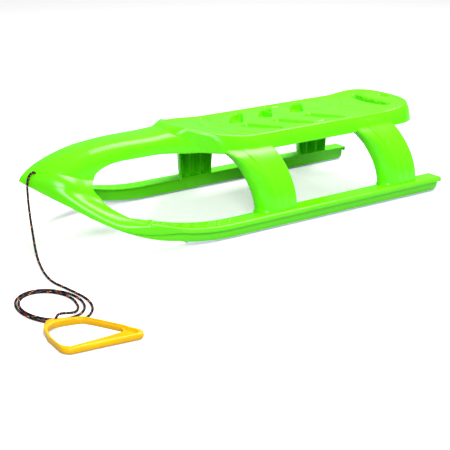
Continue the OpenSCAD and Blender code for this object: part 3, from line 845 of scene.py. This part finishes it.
# Each row: growth of the outline at the front middle, at the front corners and at the sides, then the
# share of the way down to the skirt's edge, the drop, and the share of the deck's dip
rim_rows = [(36, 5.5, 15, 1, 0, 0), (32, 5.5, 13.6, 0.8, 0, 0), (28, 5.6, 12, 0.6, 0, 0),
            (24, 5.6, 9.6, 0.38, 0, 0), (19, 5.2, 7.2, 0.24, 0, 0), (14, 4.5, 5.7, 0.15, 0, 0),
            (9, 3.5, 4.3, 0.08, 0, 0), (4, 2.2, 2.4, 0.035, 0, 0), (-1.5, -1.5, -1.5, 0, 0, 0),
            (-5, -5, -5, 0, 0, 0.14), (-9.5, -9.5, -9.5, 0, 0, 0.62), (-14, -14, -14, 0, 0, 1)]
under_rows = [(36, 5.5, 15, 1, 0, 0), (30, 2.6, 12, 1, 1, 0), (21, 2.4, 9, 0.6, 1.5, 0),
              (13, 2.2, 4.2, 0.24, 2.5, 0), (-1.5, -1.5, -1.5, 0.05, WALL, 0), (-14, -14, -14, 0, WALL, 1)]
SIDE_ROW = 8


def skirt_growth(row, s):
    """How far the outline has grown in one row, at a share of the way from the front middle."""
    corner = mix(row[0], row[1], ease((s - 0.035) / 0.05))
    return mix(corner, row[2], ease((s - 0.115) / 0.055))


def seat_place(rows, rim_share):
    """The seat's skin, from the skirt's edge over the rim to the middle of the deck, all the way round."""
    def place(u, v):
        s = 1 - abs(2 * u - 1)
        if v < rim_share:
            row = rows_between(rows, v / rim_share)
            e = skirt_growth(row, s)
            t, drop, dip = row[3:]
        else:
            e = mix(-RIM_W, -SEAT_HALF_W, (v - rim_share) / (1 - rim_share))
            t, drop, dip = 0, rows[-1][4], 1
        x, y = seat_outline(e, s)
        if e < -3:
            x, y = snapped(x, y)
            drop += dent(x, y)
        top = rim_z(y) + PROW_H * prow(x) * ease((SEAT_FRONT_Y + 50 - y) / 50)
        z = mix(top, mix(SPINE_EDGE_Z, SKIRT_Z, ease((s - 0.15) / 0.07)), t)
        if v < rim_share and s < 0.2 and e > -5:
            z = blend_max(z, spine_z(x, y) - 0.35, 9)
        return (x if u < 0.5 else -x), y, z - drop - dip * deck_dip(y)

    return place


def cut_slot(bm, walled):
    """Takes the faces inside the hand slot away, and gives it a wall."""
    centres = [(face, face.calc_center_median() / MM) for face in bm.faces]
    inner = [face for face, c in centres if c.z > 180 and slot_distance(c.x, c.y) < -0.3]
    bmesh.ops.delete(bm, geom=inner, context="FACES")
    if walled:
        edges = [e for e in bm.edges if e.is_boundary and slot_distance(*(e.verts[0].co.xy / MM)) < 1]
        made = bmesh.ops.extrude_edge_only(bm, edges=edges)["geom"]
        for vert in [g for g in made if isinstance(g, bmesh.types.BMVert)]:
            vert.co.z = SLOT_WALL_Z * MM


DECK_ROWS = 86
RIM_ROWS = 33
UNDER_ROWS = 48
UNDER_RIM_ROWS = 14
seat_bm = surface(740, DECK_ROWS, seat_place(rim_rows, RIM_ROWS / DECK_ROWS))
cut_slot(seat_bm, True)
piece_from("seat_deck", seat_bm, green.material, (0, 150, 1000), nodes=("sled_body",))
under_bm = surface(260, UNDER_ROWS, seat_place(under_rows, UNDER_RIM_ROWS / UNDER_ROWS))
cut_slot(under_bm, False)
piece_from("seat_underside", under_bm, green.material, (0, 150, -1000), nodes=("sled_body",))

# Moulding: ribs under the deck
# Five cross ribs and two long ones stiffen the deck. They are moulded in one with it, in the same
# polyethylene, and stay out of sight above the skirt's edge.
RIB_TOP_Z = SEAT_Z - DECK_DROP - 2
RIB_LOW_Z = SEAT_Z - DECK_DROP - 22
RIB_X = 88
RIB_FRONT_Y = -60
SIDES = ((-1, "left"), (1, "right"))
for k, y in enumerate((RIB_FRONT_Y, 42, 170, 300, 410)):
    half = 92 if y < 0 else SEAT_HALF_W + 2
    cross_bm = surface(2, 1, lambda u, v: (mix(-half, half, u), y, mix(RIB_LOW_Z, RIB_TOP_Z, v)))
    piece_from(f"deck_cross_rib_{k + 1}", cross_bm, green.material, (0, -3000, 180), wall=WALL,
               edge=0.6, nodes=("sled_body",))
for side, hand in SIDES:
    long_bm = surface(2, 1, lambda u, v: (side * RIB_X, mix(RIB_FRONT_Y, 413, u),
                                          mix(RIB_LOW_Z, RIB_TOP_Z, v)))
    piece_from(f"deck_long_rib_{hand}", long_bm, green.material, (side * 3000, 100, 180), wall=WALL,
               edge=0.6, nodes=("sled_body",))

# Moulding: legs
# Four channels, open inwards, flow out of the skirt, lean back and bow out to the treads. Each has a
# rounded front, three shallow raised folds outside and two ribs inside.
LEG_HEAD_X = 119
LEG_FOOT_X = 186
LEG_TOP_Z = 188
LEG_HEAD_Z = 172
LEG_FOOT_Z = 35
LEG_HEAD_W = 109
LEG_FOOT_W = 94
LEG_FRONT_DEPTH = 39
LEG_DEPTH = 30
LEG_ROUND = 6
LEG_LEAN = 27
LEG_PITCH = 368
REAR_LEG_INSET = 70
folds = [(0.36, -0.3, 2.2), (0.56, 0.45, 1.4), (0.76, 0.66, 1.2)]

# The shares of the way round a leg's channel at which its front and its rear corner start and end
FRONT_CORNER = (0.02, 0.36)
REAR_CORNER = (0.84, 0.92)


def share_between(value, start, end):
    return (value - start) / (end - start)


def leg_share(z):
    """The share of the way down a leg."""
    return clamp01((LEG_HEAD_Z - z) / (LEG_HEAD_Z - LEG_FOOT_Z))


def leg_bow(z):
    """The share of a leg's bow outwards and lean forwards that is reached at a height."""
    return math.sin(math.pi / 2 * leg_share(z) ** 0.8)


def skirt_side(z):
    """How far the skirt has grown beyond the rim at a height, on the seat's straight sides."""
    t = clamp01((SEAT_Z - z) / (SEAT_Z - SKIRT_Z))
    growth = [(row[3], row[2]) for row in rim_rows[SIDE_ROW::-1]]
    for (a, low), (b, high) in zip(growth, growth[1:]):
        if t <= b:
            return mix(low, high, (t - a) / (b - a))
    return growth[-1][1]


def leg_x(z):
    """How far out a leg's outer face stands. Its head runs into the skirt."""
    bow = mix(LEG_HEAD_X, LEG_FOOT_X, leg_bow(z)) - 0.6 * max(0, z - LEG_HEAD_Z)
    skirt = SEAT_HALF_W + skirt_side(z) + 0.25 - 1.5 * ease((z - LEG_TOP_Z + 6) / 6)
    return blend_max(skirt, bow, 7) if z > SKIRT_Z - 6 else bow


def skirt_reach(y, z):
    """The skirt's half width at a place along the seat's front half."""
    back = clamp01(-y / FRONT_LEN)
    growth = mix(min(5.5, skirt_side(z)), skirt_side(z), ease((y + 107) / 37))
    return SEAT_HALF_W * (1 - back ** 2.1) ** 0.476 + growth + 0.4


def leg_rear(n, z):
    return REAR_Y - REAR_LEG_INSET - n * LEG_PITCH - LEG_LEAN * (1 - leg_bow(z))


def leg_front(n, z):
    t = leg_share(z)
    flare = 5 * clamp01((t - 0.93) / 0.07) ** 2
    return leg_rear(n, z) - mix(LEG_HEAD_W, LEG_FOOT_W, t) - 14 * (1 - t) ** 5 - flare


def leg_channel(u, z, front, rear):
    """The open channel that a leg is at one height, from its front wall round to its rear wall."""
    x = leg_x(z)
    front_round = mix(12, LEG_FRONT_DEPTH - 2, ease(leg_share(z) / 0.4))
    if u < FRONT_CORNER[0]:
        return x - LEG_FRONT_DEPTH, front + 2
    if u < FRONT_CORNER[1]:
        a = math.pi / 2 * share_between(u, *FRONT_CORNER)
        return x - front_round * (1 - math.sin(a)), front + front_round * (1 - math.cos(a))
    if u < REAR_CORNER[0]:
        t = share_between(u, FRONT_CORNER[1], REAR_CORNER[0])
        return x + math.sin(math.pi * t), mix(front + front_round, rear - LEG_ROUND, t)
    if u < REAR_CORNER[1]:
        a = math.pi / 2 * share_between(u, *REAR_CORNER)
        return x - LEG_ROUND * (1 - math.cos(a)), rear - LEG_ROUND * (1 - math.sin(a))
    return mix(x - LEG_ROUND, x - LEG_DEPTH, share_between(u, REAR_CORNER[1], 1)), rear


def leg_place(n, side):
    def place(u, v):
        z = mix(LEG_TOP_Z, TREAD_Z - 1, v)
        front, rear = leg_front(n, z), leg_rear(n, z)
        x, y = leg_channel(u, z, front, rear)
        if u < 0.9:
            across = (y - front) / (rear - front)
            for fold, start, height in folds:
                step = ease((across - fold + 0.05) / 0.05) - ease((across - fold) / 0.16)
                x += height * ease((v - start) / 0.25) * step
        if n == 1 and z > 160:
            x = mix(x, min(x, skirt_reach(y, z)), ease((z - 160) / 16))
        return side * x, y, z

    return place


def rib_place(n, side, share):
    def place(u, v):
        z = mix(LEG_TOP_Z - 14, TREAD_Z - 1, v)
        deep = mix(33, 25, v)
        return side * (leg_x(z) - mix(deep, WALL, u)), mix(leg_front(n, z), leg_rear(n, z), share), z

    return place


for n, end in ((0, "rear"), (1, "front")):
    for side, hand in SIDES:
        outside = (side * 1000, leg_rear(n, 100) - 40, 100)
        leg_bm = surface(100, 70, leg_place(n, side))
        piece_from(f"{end}_leg_{hand}", leg_bm, green.material, outside, wall=WALL, edge=0.7,
                   nodes=("sled_body",))
        for k, share in enumerate((0.34, 0.67)):
            ahead = (side * 120, -3000, 100)
            rib_bm = surface(2, 24, rib_place(n, side, share))
            piece_from(f"{end}_leg_{hand}_rib_{k + 1}", rib_bm, green.material, ahead, wall=WALL,
                       edge=0.7, nodes=("sled_body",))

# Moulding: blades
# Under each tread a hollow blade, open below, stands on the steel strip. Its rear lower corner is cut off,
# and the tread's lip goes on round the rear end.
BLADE_W = 24
CHAMFER = 9
BLADE_END_D = SLED_L - WALL
blade_stops = [112, 130, 150, 175, 200, 230, 260, 290, 310, 330, 350, 370, 390, CLIMB_L,
               BLADE_END_D - CHAMFER, BLADE_END_D]


def blade_place(side, inset):
    """One wall of a blade, from the strip up to just under the tread's skin."""
    def place(u, v):
        d = between(blade_stops, u)
        low = ground_z(d) + STRIP_T - belly(d) + max(0, d - BLADE_END_D + CHAMFER)
        x = edge_x(d) - inset
        top = min(tread_top(d), mix(round_top(d, x + 1), tread_top(d) + 4, flatness(d)))
        return side * x, NOSE_Y + d, mix(low, max(low + 0.5, top - 1.5), v)

    return place


def blade_end_place(side):
    def place(u, v):
        x = BLADE_X - mix(1, BLADE_W - 1, u)
        return side * x, REAR_Y - WALL, mix(STRIP_T + CHAMFER, TREAD_Z - 1, v)

    return place


def end_lip_place(side):
    def place(u, v):
        x = mix(tread_in(SLED_L), tread_out(SLED_L) - 0.5, u)
        return side * x, REAR_Y, mix(TREAD_Z - LIP_H, TREAD_Z - 0.5, v)

    return place


for side, hand in SIDES:
    for inset, wall_name, facing in ((0, "outer", 1), (BLADE_W, "inner", -1)):
        outside = (side * facing * 1500, 200, 20)
        blade_bm = surface((len(blade_stops) - 1) * 3, 3, blade_place(side, inset))
        piece_from(f"blade_{wall_name}_{hand}", blade_bm, green.material, outside, wall=WALL,
                   edge=0.5, nodes=("sled_body",))
    behind = (side * 178, 3000, 20)
    piece_from(f"blade_end_{hand}", surface(4, 2, blade_end_place(side)), green.material, behind,
               wall=WALL, nodes=("sled_body",))
    piece_from(f"tread_end_lip_{hand}", surface(6, 3, end_lip_place(side)), green.material, behind,
               wall=WALL, edge=0.7, nodes=("sled_body",))

# Steel strips and screws
# A cold-rolled strip follows each blade's lower edge and turns up at the rear. Countersunk zinc-plated
# screws hold it from below. These pieces keep the solids' own meshes.
steel = Shader("rolled_steel")
steel_point = steel.add("ShaderNodeTexCoord", {}, {}, output=3)
stretched = steel.add("ShaderNodeMapping", {}, {0: steel_point, 3: (900.0, 8.0, 900.0)})
streaks = steel.add("ShaderNodeTexNoise", {}, {"Vector": stretched, "Scale": 1.0, "Detail": 4.0})
steel_tint = steel.ramp(streaks, [(0.3, (0.5, 0.56, 0.68)), (0.7, (0.66, 0.72, 0.84))])
steel_bump = steel.add("ShaderNodeBump", {}, {"Strength": 0.1, "Distance": 0.0001, "Height": streaks})
steel.set(Base_Color=steel_tint, Metallic=0.75, Roughness=streaks * 0.2 + 0.3, Normal=steel_bump)
zinc = Shader("zinc_plate")
zinc_noise = zinc.add("ShaderNodeTexNoise", {}, {"Scale": 400.0})
zinc_tint = zinc.ramp(zinc_noise, [(0.3, (0.5, 0.52, 0.55)), (0.7, (0.66, 0.68, 0.7))])
zinc.set(Base_Color=zinc_tint, Metallic=1.0, Roughness=zinc_noise * 0.2 + 0.25)
for node_name, shader in (("runner_strip_left", steel), ("runner_strip_right", steel),
                          ("strip_screws_left", zinc), ("strip_screws_right", zinc)):
    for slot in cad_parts[node_name].material_slots:
        slot.material = shader.material

# Studio
# A white floor under an even white sky, with a broad soft lamp over the tail and another off the right
# side, ahead of the nose.
floor_shader = Shader("white_floor")
light_path = floor_shader.add("ShaderNodeLightPath", {}, {})
glossy_ray = floor_shader.add("ShaderNodeLightPath", {}, {}, output="Is Glossy Ray")
clear_ray = floor_shader.add("ShaderNodeLightPath", {}, {}, output="Is Transmission Ray")
seen = light_path.math("MAXIMUM", glossy_ray).math("MAXIMUM", clear_ray)
floor_tint = floor_shader.mix(seen, (0.26, 0.26, 0.26, 1), (0.97, 0.97, 0.97, 1))
floor_glow = floor_shader.mix(light_path, (0, 0, 0, 1), (0.46, 0.46, 0.46, 1))
floor_shader.set(Base_Color=floor_tint, Roughness=0.9, Specular_IOR_Level=0.0, Emission_Color=floor_glow,
                 Emission_Strength=1.0)
FLOOR_HALF = 30
floor_bm = bmesh.new()
bmesh.ops.create_grid(floor_bm, x_segments=1, y_segments=1, size=FLOOR_HALF)
floor_data = bpy.data.meshes.new("floor")
floor_bm.to_mesh(floor_data)
floor = bpy.data.objects.new("floor", floor_data)
floor.location.z = -0.0005
floor.data.materials.append(floor_shader.material)
bpy.context.scene.collection.objects.link(floor)

sky = bpy.data.worlds.new("sky")
sky.use_nodes = True
sky.node_tree.nodes["Background"].inputs["Color"].default_value = (1, 1, 1, 1)
sky.node_tree.nodes["Background"].inputs["Strength"].default_value = 0.3
bpy.context.scene.world = sky


def lamp(name, place, target, size, watts):
    """A square lamp at a place, in metres, that shines towards a target."""
    light = bpy.data.objects.new(name, bpy.data.lights.new(name, "AREA"))
    light.data.size = size
    light.data.energy = watts
    light.location = place
    light.rotation_euler = (Vector(target) - Vector(place)).to_track_quat("-Z", "Y").to_euler()
    bpy.context.scene.collection.objects.link(light)


lamp("lamp_overhead", (0.2, 1.15, 2.4), (0.05, 0, 0.15), 1.6, 92)
lamp("lamp_at_side", (2.4, -1.5, 1.55), (0.1, 0, 0.1), 1.0, 60)
bpy.context.scene.view_settings.view_transform = "Standard"
